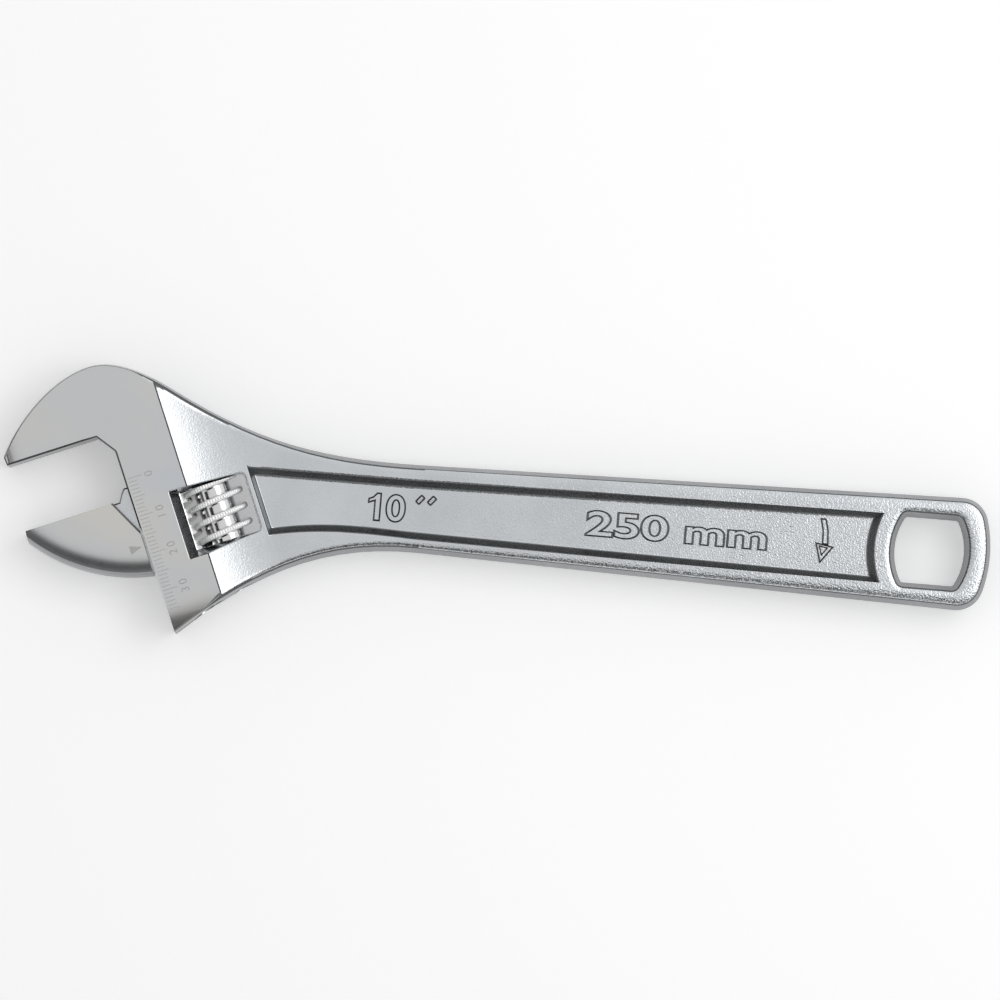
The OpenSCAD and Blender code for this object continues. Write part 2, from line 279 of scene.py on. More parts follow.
def turnedToHead(bm):
    bmesh.ops.transform(bm, matrix=headTurn, verts=bm.verts)
    return bm


# A cut through all faces or the given ones, which may clear away what lies on the normal's side
def bisect(bm, point, normal, faces=None, clearOuter=False, fill=False):
    faces = list(bm.faces) if faces is None else faces
    parts = faces + onceEach(part for face in faces for part in (*face.edges, *face.verts))
    cut = bmesh.ops.bisect_plane(bm, geom=parts, plane_co=point, plane_no=normal, clear_outer=clearOuter,
                                 dist=1e-5)
    if fill:
        edges = [item for item in cut["geom_cut"] if isinstance(item, bmesh.types.BMEdge)]
        bmesh.ops.contextual_create(bm, geom=edges)


shading = {"sharpAngle": 32, "slightAngle": 4, "wideness": 12, "faceWeight": 50}


# An edge between a wide face and a narrow sloping one is kept sharp too, so that the wide face looks flat.
def isSharp(edge):
    angle = edge.calc_face_angle()
    small, large = sorted(face.calc_area() for face in edge.link_faces)
    isBesideWide = large > shading["wideness"] * small
    return angle > radians(shading["sharpAngle"]) or angle > radians(shading["slightAngle"]) and isBesideWide


# A finished piece goes from its own frame in millimetres to its place in metres, and rides on its body.
def place(piece, matrix, body):
    mesh = piece.data
    mesh.transform(matrix)
    bm = meshOf(piece)
    for face in bm.faces:
        face.smooth = True
    for edge in bm.edges:
        if edge.is_manifold and isSharp(edge):
            edge.smooth = False
    bm.to_mesh(mesh)
    bm.free()
    normals = piece.modifiers.new("normals", "WEIGHTED_NORMAL")
    normals.keep_sharp = True
    normals.weight = shading["faceWeight"]
    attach(piece, body)


# Camera: straight above the wrench but for a slight tilt, rolled so that the handle drops to the right
cameraValues = {
    "distance": 2600, "tilt": 2.0, "roll": 4.7685, "target": (0.68, 7.26, 8), "viewWidth": 256.39711,
}


def makeCamera(values):
    right = heading(values["roll"])
    down = heading(values["roll"] - 90)
    tilt = radians(values["tilt"])
    outward = down * sin(tilt) + Vector((0, 0, cos(tilt)))
    data = bpy.data.cameras.new("camera")
    data.sensor_width = 36
    data.lens = data.sensor_width * values["distance"] / values["viewWidth"]
    data.clip_end = 50
    camera = bpy.data.objects.new("camera", data)
    bpy.context.scene.collection.objects.link(camera)
    target = Vector(values["target"]) * mm
    up = outward.cross(right)
    turn = Matrix((right, up, outward)).transposed().to_4x4()
    camera.matrix_world = Matrix.Translation(target + outward * values["distance"] * mm) @ turn
    bpy.context.scene.camera = camera


makeCamera(cameraValues)


# Finishes, and the painted shade and highlight that some of them carry. Each grain has its noise's scale and
# detail. Levels are 0 on an upright face and 1 on a flat one.
grains = {
    "pebbles": (2300, 1.5), "lumps": (700, 2.0), "clouds": (60, 3.0), "grindLines": (900, 2.0),
    "buffClouds": (45, 2.0), "wear": (300, 3.0), "etching": (2500, 2.0), "steel": (1200, 3.0),
}
noiseSpan = (0.3, 0.7)                      # most of a noise lies between these
# The wall levels are where the painted shade of steep walls turns from its dark colour to its light one.
finish = {
    "pebbleX": (-0.05, 0.07), "pebbleSize": (0.3, 1), "unevenness": 0.05, "wallPaintedShadeLevels": (0.91, 0.992),
    "grindStretch": (0.03, 1, 1), "rollLevels": (0.999, 0.97), "rollDullness": 0.06,
}


def shaderMaterial(name, colour, roughness, metallic=1.0):
    material = bpy.data.materials.new(name)
    material.use_nodes = True
    shader = material.node_tree.nodes["Principled BSDF"]
    shader.inputs["Base Color"].default_value = (*colour, 1)
    shader.inputs["Roughness"].default_value = roughness
    shader.inputs["Metallic"].default_value = metallic
    return material, material.node_tree, shader


def noiseFor(tree, grain, stretch=(1, 1, 1), turn=0.0):
    coords = tree.nodes.new("ShaderNodeTexCoord")
    mapping = tree.nodes.new("ShaderNodeMapping")
    mapping.inputs["Scale"].default_value = stretch
    mapping.inputs["Rotation"].default_value = (0, 0, turn)
    noise = tree.nodes.new("ShaderNodeTexNoise")
    noise.inputs["Scale"].default_value, noise.inputs["Detail"].default_value = grains[grain]
    tree.links.new(coords.outputs["Object"], mapping.inputs["Vector"])
    tree.links.new(mapping.outputs["Vector"], noise.inputs["Vector"])
    return noise.outputs["Fac"]


def ranged(tree, value, low, high, fromLow=noiseSpan[0], fromHigh=noiseSpan[1]):
    node = tree.nodes.new("ShaderNodeMapRange")
    for name, number in (("From Min", fromLow), ("From Max", fromHigh), ("To Min", low), ("To Max", high)):
        node.inputs[name].default_value = number
    tree.links.new(value, node.inputs["Value"])
    return node.outputs["Result"]


def colourBetween(tree, value, dark, light):
    ramp = tree.nodes.new("ShaderNodeValToRGB")
    for element, position, colour in zip(ramp.color_ramp.elements, noiseSpan, (dark, light)):
        element.position = position
        element.color = (*colour, 1)
    tree.links.new(value, ramp.inputs["Fac"])
    return ramp.outputs["Color"]


def product(tree, first, second):
    node = tree.nodes.new("ShaderNodeMath")
    node.operation = "MULTIPLY"
    tree.links.new(first, node.inputs[0])
    tree.links.new(second, node.inputs[1])
    return node.outputs["Value"]


def component(tree, vector, axis):
    node = tree.nodes.new("ShaderNodeSeparateXYZ")
    tree.links.new(vector, node.inputs["Vector"])
    return node.outputs[axis]


# How level a surface lies
def levelness(tree):
    facing = tree.nodes.new("ShaderNodeNewGeometry").outputs["Normal"]
    node = tree.nodes.new("ShaderNodeMath")
    node.operation = "ABSOLUTE"
    tree.links.new(component(tree, facing, "Z"), node.inputs[0])
    return node.outputs["Value"]


def bumpOn(tree, shader, heights):
    normal = None
    for height, strength, distance in heights:
        bump = tree.nodes.new("ShaderNodeBump")
        bump.inputs["Strength"].default_value = strength
        bump.inputs["Distance"].default_value = distance
        tree.links.new(height, bump.inputs["Height"])
        if normal:
            tree.links.new(normal, bump.inputs["Normal"])
        normal = bump.outputs["Normal"]
    tree.links.new(normal, shader.inputs["Normal"])


# Satin chrome over a forged surface: pebbles that grow towards the handle's end, and a little unevenness.
# With the painted shade on walls, its colour is dark on steep walls and turns light again as they level out.
def forgedChrome(name, dark, light, roughness, hasPaintedShadeOnWalls=False):
    material, tree, shader = shaderMaterial(name, light, roughness)
    along = component(tree, tree.nodes.new("ShaderNodeTexCoord").outputs["Object"], "X")
    coarseness = ranged(tree, along, *finish["pebbleSize"], *finish["pebbleX"])
    pebbles = noiseFor(tree, "pebbles")
    lumps = noiseFor(tree, "lumps")
    if hasPaintedShadeOnWalls:
        shade = ranged(tree, levelness(tree), *noiseSpan, *finish["wallPaintedShadeLevels"])
    else:
        shade = noiseFor(tree, "clouds")
    dull = ranged(tree, pebbles, roughness - finish["unevenness"], roughness + finish["unevenness"])
    tree.links.new(colourBetween(tree, shade, dark, light), shader.inputs["Base Color"])
    tree.links.new(dull, shader.inputs["Roughness"])
    bumpOn(tree, shader, [(lumps, 0.15, 0.00006), (product(tree, pebbles, coarseness), 1.0, 0.0001)])
    return material


# Ground and buffed chrome: faint clouds and lines along the jaws, and duller where it rolls over
def groundChrome(name, warm, cool, roughness):
    material, tree, shader = shaderMaterial(name, warm, roughness)
    lines = noiseFor(tree, "grindLines", finish["grindStretch"], -headTurn.to_euler().z)
    clouds = noiseFor(tree, "buffClouds")
    dullest = roughness + finish["rollDullness"]
    dull = ranged(tree, levelness(tree), roughness, dullest, *finish["rollLevels"])
    tree.links.new(colourBetween(tree, clouds, warm, cool), shader.inputs["Base Color"])
    tree.links.new(dull, shader.inputs["Roughness"])
    bumpOn(tree, shader, [(clouds, 0.06, 0.0006), (lines, 0.02, 0.00003)])
    return material


def wormChrome(name, shade, roughness):
    material, tree, shader = shaderMaterial(name, (shade, shade, shade), roughness)
    wear = noiseFor(tree, "wear")
    tree.links.new(ranged(tree, wear, roughness - 0.04, roughness + 0.08), shader.inputs["Roughness"])
    bumpOn(tree, shader, [(wear, 0.08, 0.0001)])
    return material


def etchedMark(name, dark, light, roughness):
    material, tree, shader = shaderMaterial(name, light, roughness)
    grain = noiseFor(tree, "etching")
    tree.links.new(ranged(tree, grain, roughness - 0.05, roughness + 0.1), shader.inputs["Roughness"])
    tree.links.new(colourBetween(tree, grain, dark, light), shader.inputs["Base Color"])
    return material


def plainSteel(name, colour, roughness):
    material, tree, shader = shaderMaterial(name, colour, roughness)
    grain = noiseFor(tree, "steel")
    tree.links.new(ranged(tree, grain, roughness - 0.07, roughness + 0.07), shader.inputs["Roughness"])
    bumpOn(tree, shader, [(grain, 0.1, 0.00005)])
    return material


satin = forgedChrome("forgedChrome", (0.56, 0.58, 0.6), (0.63, 0.65, 0.67), 0.23)
# Painted shade: the handle's trimmed side walls are coloured darker than its faces.
trimmedSidePaintedShade = forgedChrome("trimmedSideChromePaintedShade", (0.24, 0.25, 0.26), (0.31, 0.32, 0.33), 0.3)
# Painted shade: this colour is dark on the steep recess walls, rolled edges, the step past the ground face
# and the marks' walls, and light where they level out.
wallPaintedShade = forgedChrome("wallChromePaintedShade", (0.12, 0.126, 0.13), (0.6, 0.62, 0.64), 0.27, True)
ground = groundChrome("groundChrome", (0.62, 0.61, 0.58), (0.56, 0.58, 0.61), 0.2)
# Painted shade: the side walls of the head and of the moving jaw are coloured darker than the ground faces.
groundSidePaintedShade = groundChrome("groundSidePaintedShade", (0.36, 0.36, 0.36), (0.3, 0.31, 0.32), 0.25)
bright = wormChrome("wormChrome", 0.7, 0.12)
toothed = wormChrome("rackChrome", 0.72, 0.25)
# Painted highlight: the knurled crest is coloured near white, brighter than the rest of the worm's chrome.
knurledPaintedHighlight = wormChrome("knurledChromePaintedHighlight", 0.95, 0.5)
etched = etchedMark("etchedMark", (0.42, 0.42, 0.43), (0.54, 0.54, 0.54), 0.4)
pinSteel = plainSteel("pinSteel", (0.5, 0.5, 0.51), 0.3)
springSteel = plainSteel("springSteel", (0.45, 0.45, 0.46), 0.25)
print("materials made")


# The forged body. Cutters reach past what they cut: below the head, and over the head's and handle's faces.
past = {"below": -70, "head": 1, "handle": 1.5}
body = {
    "headThick": 16, "handleThick": 9.5, "webThick": 5.8,
    "jawReach": 27.7, "faceY": 13.6, "tipHeight": 2.9, "tipLean": 0.3, "tipTurn": 51, "tipOverrun": 4,
    "tipPull": 10, "crownY": 31.75, "crownPull": 7.3, "shoulder": (19, 19.4), "shoulderTurn": -49.5,
    "heel": (1.3, -40.2), "heelTurn": 200, "heelPull": 22, "heelOverrun": 9,
    "behindOpening": ((-12, -20), (-12, 5), (-31, 8)),
    "throatWidth": 3.4, "throatHeight": 4.8, "openingRise": 6.8, "openingLip": (0.46, 0.32, 0.14),
    "groundWidth": 14.6, "slopeLength": 23.4, "slopeSteps": 14, "stepDrop": 0.26, "stepWidth": 0.36,
    "stepFade": (30, 38), "etchDepth": 0.012,
    "neckX": 76, "neckWidth": 22.5, "neckPull": 26, "endWidth": 29.2, "endPull": 3.4, "ribWidth": 4.2,
    "recessWall": 1.75, "recessFillet": 0.9, "recessLip": 0.8, "recessLedge": (1.4, 0.6),
    "recessLow": ((-9.9, 58, -7.6), (73.5, -7.9)), "recessHigh": (7, 72, 7.1), "recessEnd": (9.15, -9.5),
    "rimInset": 2.85, "rimWidens": (0.12, 60), "rimEnd": 2, "rimStart": 1,
    "endRadius": 34, "endCorner": 5.5,
    "flashHalf": 1.0, "headDraft": 0.55, "handleDraft": 1.0, "draftX": (20, 60),
    "holeLength": 20.2, "holeHeight": 19.2, "holeRadius": 18, "holeEndWall": 5.5, "holeDraft": 1.2,
    "holeCorner": 0.5, "holeRoll": (1.5, 0.55),
    "windowX": (12.18, 29.58), "windowY": (-21.8, -6.2), "windowFlare": (2.4, 1.8, 1.9, 0.9),
    "windowCorner": (0.4, 1.2), "mouthZ": 3.98, "mouthSpread": -0.12, "mouthRise": 0.2, "windowLip": 0.22,
    "boreX": 10.28, "boreRadius": 4.78, "boreTop": 17.2, "slotHalf": 2.7, "slotX": -1.3,
    "pinRadius": 2.23, "pinTop": -2.2, "screwRadius": 2.73, "pinStep": -24.4,
}

# The outer edge is nearly sharp round the ground face, and rolls over widely on the forged faces.
rolledEdge = {
    "sharp": 0.3, "forgedX": (10.5, 15), "width": 1.2, "widensX": (50, 190),
    "drop": 0.4, "lessDrop": 0.1, "lessDropX": (25, 60), "steps": 6,
}

# The ground faces fall away a little towards the fixed jaw's tip and the head's lower corner.
pillow = {"tipX": -21.5, "tipFall": 0.024, "tipCuts": 6, "heelY": -31.5, "heelFall": 0.013,
          "heelCuts": 5, "heelGap": 1.7}

headFace = body["headThick"] / 2 - body["etchDepth"]
handleEnd = (cadBox[1].x - datum.x) / mm
taper = degrees(atan((body["endWidth"] - body["neckWidth"]) / 2 / (handleEnd - body["neckX"])))


def halfWidth(x):
    return body["neckWidth"] / 2 + (x - body["neckX"]) * tan(radians(taper))


def forgingKnots():
    turn = degrees(headTurn.to_euler().z)
    tipTurn, backTurn, heelTurn = [body[name] + turn for name in ("tipTurn", "shoulderTurn", "heelTurn")]
    radius = body["endRadius"]
    cornerY = halfWidth(handleEnd) - body["endCorner"]
    cornerTurn = degrees(asin(cornerY / radius))
    cornerX = handleEnd - radius + sqrt(radius ** 2 - cornerY ** 2)
    arcPull = 4 / 3 * tan(radians(cornerTurn / 2)) * radius
    crownPull, neckPull, endPull = body["crownPull"], body["neckPull"], body["endPull"]
    sideX = handleEnd - 1.5 * body["endCorner"]
    tip = inHead(-body["jawReach"], body["faceY"] + body["tipHeight"])
    heel = inHead(*body["heel"])
    return [
        knot(tip - heading(tipTurn) * body["tipOverrun"]),
        knot(tip, 0, 0, tipTurn, body["tipPull"]),
        knot(inHead(0, body["crownY"]), turn, body["tipPull"], turn, crownPull),
        knot(inHead(*body["shoulder"]), backTurn, crownPull, backTurn, neckPull),
        knot((body["neckX"], halfWidth(body["neckX"])), taper, neckPull),
        knot((sideX, halfWidth(sideX)), 0, 0, taper, endPull),
        knot((cornerX, cornerY), cornerTurn - 90, endPull, cornerTurn - 90, arcPull),
        knot((cornerX, -cornerY), -cornerTurn - 90, arcPull, -cornerTurn - 90, endPull),
        knot((sideX, -halfWidth(sideX)), 180 - taper, endPull),
        knot((body["neckX"], -halfWidth(body["neckX"])), 0, 0, 180 - taper, neckPull),
        knot(heel, heelTurn, body["heelPull"]),
        knot(heel + heading(heelTurn) * body["heelOverrun"]),
        *[knot(inHead(*spot)) for spot in body["behindOpening"]],
    ]


def slopeHeight(x):
    low = body["handleThick"] / 2
    drop = body["headThick"] / 2 - low
    run = max(0.0, min(body["slopeLength"], body["groundWidth"] + body["slopeLength"] - x))
    radius = (body["slopeLength"] ** 2 + drop ** 2) / (2 * drop)
    return low + radius - sqrt(radius ** 2 - run ** 2)


def topHeight(point):
    spot = headOf(point)
    if spot.x > body["groundWidth"] + 0.01:
        return slopeHeight(spot.x) - body["stepDrop"] * (1 - blendStep(spot.x, *body["stepFade"]))
    tipFall = pillow["tipFall"] * max(0, pillow["tipX"] - spot.x) ** 2
    heelFall = pillow["heelFall"] * max(0, pillow["heelY"] - spot.y) ** 2
    return slopeHeight(spot.x) - body["etchDepth"] - tipFall - heelFall


def edgeRoll(point):
    x = headOf(point).x
    forged = blendStep(x, *rolledEdge["forgedX"])
    width = rolledEdge["sharp"] + forged * (rolledEdge["width"] + blendStep(point.x, *rolledEdge["widensX"]))
    drop = rolledEdge["drop"] - rolledEdge["lessDrop"] * blendStep(x, *rolledEdge["lessDropX"])
    return width, rolledEdge["sharp"] + forged * drop


# A rolled edge in section, from its side to the top, which starts inside the outline by the inset
def rollSection(inset, top, width, drop):
    steps = rolledEdge["steps"]
    angles = [radians(90) * i / steps for i in range(steps + 1)]
    return [(inset + width * (1 - cos(angle)), top - drop * (1 - sin(angle))) for angle in angles]


def forgingProfile(spot):
    steeper = body["handleDraft"] - body["headDraft"]
    draft = body["headDraft"] + steeper * blendStep(spot.x, *body["draftX"])
    return [(0, 0), (0, body["flashHalf"])] + rollSection(draft, body["headThick"] / 2, *edgeRoll(spot))


def forging():
    bm = layered(forgingKnots(), forgingProfile, 14)
    slopeStart, count = body["groundWidth"] + body["stepWidth"], body["slopeSteps"]
    slopeCuts = [slopeStart + (body["slopeLength"] - body["stepWidth"]) * i / count for i in range(count + 1)]
    tipCuts = [pillow["tipX"] - i for i in range(pillow["tipCuts"])]
    for x in [body["groundWidth"]] + slopeCuts + tipCuts:
        bisect(bm, inHead(x, 0), inHead(1, 0))
    for i in range(pillow["heelCuts"]):
        head = [face for face in bm.faces if headOf(face.calc_center_median()).x < body["groundWidth"]]
        bisect(bm, inHead(0, pillow["heelY"] - pillow["heelGap"] * i), inHead(0, 1), head)
    land, top = body["flashHalf"], body["headThick"] / 2
    for vert in bm.verts:
        share = (vert.co.z - land) / (top - edgeRoll(vert.co)[1] - land)
        vert.co.z += (topHeight(vert.co) - top) * min(1, max(0, share))
    bmesh.ops.recalc_face_normals(bm, faces=bm.faces)
    return bm


# The space between the fixed jaw's face and the head, with a bevelled lip
def jawOpening():
    face, reach, below = body["faceY"], body["jawReach"], past["below"]
    beyond, rise = -45, face + body["openingRise"]
    lip, under, over = body["openingLip"]
    points = [(0, below), (0, face - body["throatHeight"]), (-body["throatWidth"], face),
              (body["tipLean"] - reach, face), (-reach, face + body["tipHeight"]), (-reach - 0.4, rise),
              (beyond, rise), (beyond, below)]

    def profile(spot):
        top = topHeight(inHead(spot.x, spot.y))
        return [(0, -1), (0, top - under), (-lip, top + over), (-lip, body["headThick"] / 2 + past["head"])]

    return turnedToHead(layered(corners(points), profile))


# A cutter's rim is drawn for the handle's flat face, and then follows the real one.
def onTop(bm):
    top, rimDepth = body["handleThick"] / 2, 1.4
    for vert in bm.verts:
        if vert.co.z > top - rimDepth:
            vert.co.z += topHeight(vert.co) - top
    return bm


# The recess at the rib's surface, or inside it by the inset
def recessKnots(inset):
    turn = degrees(headTurn.to_euler().z)
    ledgeWidth, ledgeLean = body["recessLedge"]
    ledge = body["windowX"][1] + ledgeWidth + inset * ledgeLean
    eye = handleEnd - body["holeEndWall"] - body["holeLength"] + body["holeRadius"]
    radius = body["holeRadius"] + body["ribWidth"] + inset
    ends = []
    for side in body["recessEnd"]:
        y = side - copysign(inset, side)
        turnHere = degrees(asin(y / radius))
        ends.append((eye - sqrt(radius ** 2 - y ** 2), y, 270 - turnHere, turnHere))
    (highEndX, highEndY, highAngle, highTurn), (lowEndX, lowEndY, lowAngle, lowTurn) = ends
    pull = 4 / 3 * tan(radians((highTurn - lowTurn) / 4)) * radius

    def onLedge(y):
        return (ledge - y * sin(radians(turn))) / cos(radians(turn)), y

    (lowStart, waistX, waistY), (lowX, lowY) = body["recessLow"]
    highStart, highX, highY = body["recessHigh"]
    return [
        knot((waistX, waistY + inset), 181, 6, 181, 8),
        knot(onLedge(lowStart + inset), 192, 6),
        knot(onLedge(highStart - inset)),
        knot((highX, highY - inset), 0, 12, 0.9, 12),
        knot((highEndX, highEndY), 0, 0, highAngle, pull),
        knot((lowEndX, lowEndY), lowAngle, pull),
        knot((lowX, lowY + inset), 0, 0, 179, 6),
    ]


def recess():
    wall, fillet, lip = body["recessWall"], body["recessFillet"], body["recessLip"]
    web, top = body["webThick"] / 2, body["handleThick"] / 2
    lipEnd = -0.45 * lip          # where the lip's arc meets the rib's face
    section = rounded([(wall + fillet, web), (wall, web), (0, top), (lipEnd, top)], [fillet, lip])
    section += [(lipEnd - 0.01, top + past["handle"])]
    return onTop(solidThrough([outlineSpots(recessKnots(inset), height, 10) for inset, height in section]))


# The hole is narrowest at mid thickness, and its rim rolls over as the handle's edge does.
def hangingHole():
    draft, (width, drop), top = body["holeDraft"], body["holeRoll"], body["handleThick"] / 2
    radius, height = body["holeRadius"] - draft, body["holeHeight"] / 2 - draft
    left = handleEnd - body["holeEndWall"] - body["holeLength"] + body["holeRadius"]
    right = handleEnd - body["holeEndWall"] - body["holeRadius"]
    turn = degrees(asin(height / radius))
    reach = sqrt(radius ** 2 - height ** 2)
    pull = 4 / 3 * tan(radians(turn / 2)) * radius
    knots = [
        knot((left - reach, height), 0, 0, 270 - turn, pull), knot((left - reach, -height), 270 + turn, pull),
        knot((right + reach, -height), 0, 0, 90 - turn, pull), knot((right + reach, height), 90 + turn, pull),
    ]

    def profile(spot):
        above = [(-draft - width - 0.01, top + past["handle"])]
        return [(0, -1), (0, 0)] + rollSection(-draft, top, -width, drop) + above

    return layered(knots, profile, 10, body["holeCorner"])


def windowBox(spread):
    (left, right), (low, high) = body["windowX"], body["windowY"]
    outLeft, outRight, outLow, outHigh = [value * spread for value in body["windowFlare"]]
    return [(left - outLeft, low - outLow), (right + outRight, low - outLow),
            (right + outRight, high + outHigh), (left - outLeft, high + outHigh)]


# The window's corners are round on the handle's side and nearly sharp on the jaw's.
def windowCorners(bm):
    middle = sum(body["windowX"]) / 2
    for side, radius in zip((-1, 1), body["windowCorner"]):
        upright = [rim for rim in bm.edges if abs((rim.verts[0].co - rim.verts[1].co).z) > 1
                   and (rim.verts[0].co.x - middle) * side > 0]
        rounding(bm, upright, radius, 4)
    return turnedToHead(bm)


def window():
    return windowCorners(prism(corners(windowBox(0)), -1, body["headThick"] / 2 + past["head"]))


# The window's slanted walls, from its mouth to the head's face
def windowMouth():
    low, high = body["mouthZ"], body["headThick"] / 2 + body["mouthRise"]
    bm = bmesh.new()
    top = raised(bm, outlineFace(bm, corners(windowBox(body["mouthSpread"])), low), high - low)
    for vert, (x, y) in zip(sorted(top.verts, key=lambda v: (v.co.y > wormSpot.y, v.co.x)),
                            sorted(windowBox(1), key=lambda p: (p[1] > wormSpot.y, p[0]))):
        vert.co.x, vert.co.y = x, y
    bmesh.ops.recalc_face_normals(bm, faces=bm.faces)
    return windowCorners(bm)


# The slot that the moving jaw's neck slides in
def neckSlot():
    x, top, below = body["boreX"], body["boreTop"], past["below"]
    left = 0.05 - body["throatWidth"]
    points = [(x, below), (x, top), (body["slotX"], top), (left, body["faceY"] + 0.2), (left, below)]
    return turnedToHead(prism(corners(points), -1, body["slotHalf"]))


# Whether a spot of the head is in the window, or near it by the margins before, after and beside it
def isAtWindow(spot, before, after, beside):
    (left, right), (low, high) = body["windowX"], body["windowY"]
    return left - before < spot.x < right + after and low - beside < spot.y < high + beside


# The edges between the window's slanted walls and the head's faces
def isWindowRim(rim):
    if not rim.is_manifold or rim.calc_face_angle_signed() < radians(20):
        return False
    spot = headOf((rim.verts[0].co + rim.verts[1].co) / 2)
    return spot.z > 4.6 and isAtWindow(spot, 3, 0.9, 2)


# Whether a point lies inside the recess's rim, which runs nearer to the side towards the head
def isInRecess(point):
    right = handleEnd - body["holeEndWall"] - body["holeLength"] - body["rimEnd"]
    widening, widensFrom = body["rimWidens"]
    side = halfWidth(point.x) - body["rimInset"] + widening * max(0, widensFrom - point.x)
    isPastWindow = headOf(point).x > body["windowX"][1] + body["rimStart"]
    return isPastWindow and point.x < right and abs(point.y) < side


# Walls, rolled edges and the step past the ground face get darker colours than the faces that lie level, a
# painted shade. The ground and satin faces are real finishes.
def finishOf(middle, flat):
    spot = headOf(middle)
    level, steep = 0.985 if isInRecess(middle) else 0.92, 0.5
    isHead = spot.x < body["groundWidth"]
    isStep = 0 < spot.x - body["groundWidth"] < body["stepWidth"] and abs(spot.z) > 7
    isWindow = isAtWindow(spot, 0.1, 0.9, 2.2)
    if isStep or steep < flat < level and not isWindow:
        return wallPaintedShade
    if flat <= steep and not isWindow:
        return groundSidePaintedShade if isHead else trimmedSidePaintedShade
    return ground if isHead and abs(spot.z) > 6 else satin


def makeBody():
    finishesAndPaintedShades = [satin, ground, trimmedSidePaintedShade, groundSidePaintedShade, wallPaintedShade]
    piece = objectFrom(forging(), "forgedBody", *finishesAndPaintedShades)
    below, boreX, pinX = past["below"], body["boreX"], wormSpot.x
    for cutter in [jawOpening(), recess(), hangingHole(), window(), windowMouth(), neckSlot(),
                   turnedToHead(rodAlongY(boreX, below, body["boreTop"], body["boreRadius"])),
                   turnedToHead(rodAlongY(pinX, body["pinStep"], body["pinTop"], body["pinRadius"])),
                   turnedToHead(rodAlongY(pinX, below, body["pinStep"], body["screwRadius"]))]:
        carve(piece, cutter)
    bm = meshOf(piece)
    bmesh.ops.remove_doubles(bm, verts=bm.verts, dist=0.002)
    bmesh.ops.dissolve_limit(bm, angle_limit=radians(0.2), verts=bm.verts, edges=bm.edges)
    floor = [face for face in bm.faces if all(abs(vert.co.z) < 1e-3 for vert in face.verts)]
    bmesh.ops.delete(bm, geom=floor, context="FACES")
    rounding(bm, [rim for rim in bm.edges if isWindowRim(rim)], body["windowLip"], 3)
    top = {face for face in bm.faces
           if all(abs(vert.co.z - topHeight(vert.co)) < 0.01 for vert in face.verts)}
    for rim in bm.edges:
        rim.smooth = len(top.intersection(rim.link_faces)) != 1
    mirrorDown(bm)
    bmesh.ops.recalc_face_normals(bm, faces=bm.faces)
    for face in bm.faces:
        face.material_index = finishesAndPaintedShades.index(finishOf(face.calc_center_median(), abs(face.normal.z)))
    bm.to_mesh(piece.data)
    bm.free()
    place(piece, handlePlace, "body")
    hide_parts("forged_body")


makeBody()
print("forged body made")


# Marks. Raised ones stand on the recess floor with sloping walls. Etched ones are thin inlays in the ground
# faces.
marks = {
    "relief": 0.45, "slope": 0.45, "grow": 0.04,
    "one": ((63.7, -4.1), (65.6, -4.1), (65.6, 3.3), (64.3, 3.3), (63.3, 2.2), (62.1, 1.7), (62.1, 0.3),
            (63.7, 0.9)),
    "zero": ((66.7, -4.1), (72, 3.3)),
    "inchX": (74.6, 77.6), "inchY": (1.3, 3.3), "inchWidth": 1.1, "inchLean": 1.7, "inchCorner": 0.4,
    "word": "250 mm", "wordBox": ((118, -3.5), (165, 3.5)),
    "shaft": ((177.9, 6.2), (179.6, 6.2), (180.4, 3), (180.6, -0.6), (178.8, -0.6), (178.7, 3)),
    "arrow": ((177, 0), (182.1, -0.9), (178.6, -5.6)),
    "arrowHollow": ((178.5, -1.2), (180, -1.5), (179, -2.9)), "hollowDepth": 0.4,
    "tickStart": 0.92, "ticks": 35, "tickX": 0.9, "tickLength": (2.3, 3.0, 3.7), "tickWidth": 0.17,
    "digitX": 6.4, "digitHeight": 2.1, "digitSpacing": 1.4, "digitShift": -0.2,
    "pointer": ((-4, -11.8), (-0.8, -12.9), (-4, -14)), "inlay": 0.01, "inlayDepth": 0.1,
}
raisedTop = body["webThick"] / 2 + marks["relief"]
inlayTop = headFace + marks["inlay"]


def lettering(text, slope, grow, deep=0.5, spacing=1.0):
    curve = bpy.data.curves.new("lettering", "FONT")
    curve.body = text
    curve.size = 10
    curve.extrude = deep
    curve.bevel_depth = slope
    curve.bevel_resolution = 0
    curve.offset = grow
    curve.space_character = spacing
    holder = bpy.data.objects.new("lettering", curve)
    bm = bmesh.new()
    bm.from_mesh(holder.to_mesh())
    holder.to_mesh_clear()
    bpy.data.objects.remove(holder)
    bpy.data.curves.remove(curve)
    bmesh.ops.remove_doubles(bm, verts=bm.verts, dist=1e-4)
    return bm


def span(bm):
    lows = [min(vert.co[axis] for vert in bm.verts) for axis in range(3)]
    highs = [max(vert.co[axis] for vert in bm.verts) for axis in range(3)]
    return Vector(lows), Vector(highs)


# Lettering stretched to fill a box, with its top at a height
def fitted(bm, box, top):
    low, high = span(bm)
    near, far = [Vector((*corner, 0)) for corner in box]
    size = high - low
    bmesh.ops.translate(bm, verts=bm.verts, vec=(-low.x, -low.y, -high.z))
    bmesh.ops.scale(bm, verts=bm.verts, vec=((far.x - near.x) / size.x, (far.y - near.y) / size.y, 1))
    bmesh.ops.translate(bm, verts=bm.verts, vec=(near.x, near.y, top))
    return bm


# A raised mark, whose foot reaches a little into the recess floor
def ridge(points, cornerRadius=0):
    foot = raisedTop - marks["relief"]
    section = [(0, foot - 0.3), (0, foot), (marks["slope"], raisedTop)]
    return layered(corners(points), lambda spot: section, cornerRadius=cornerRadius)


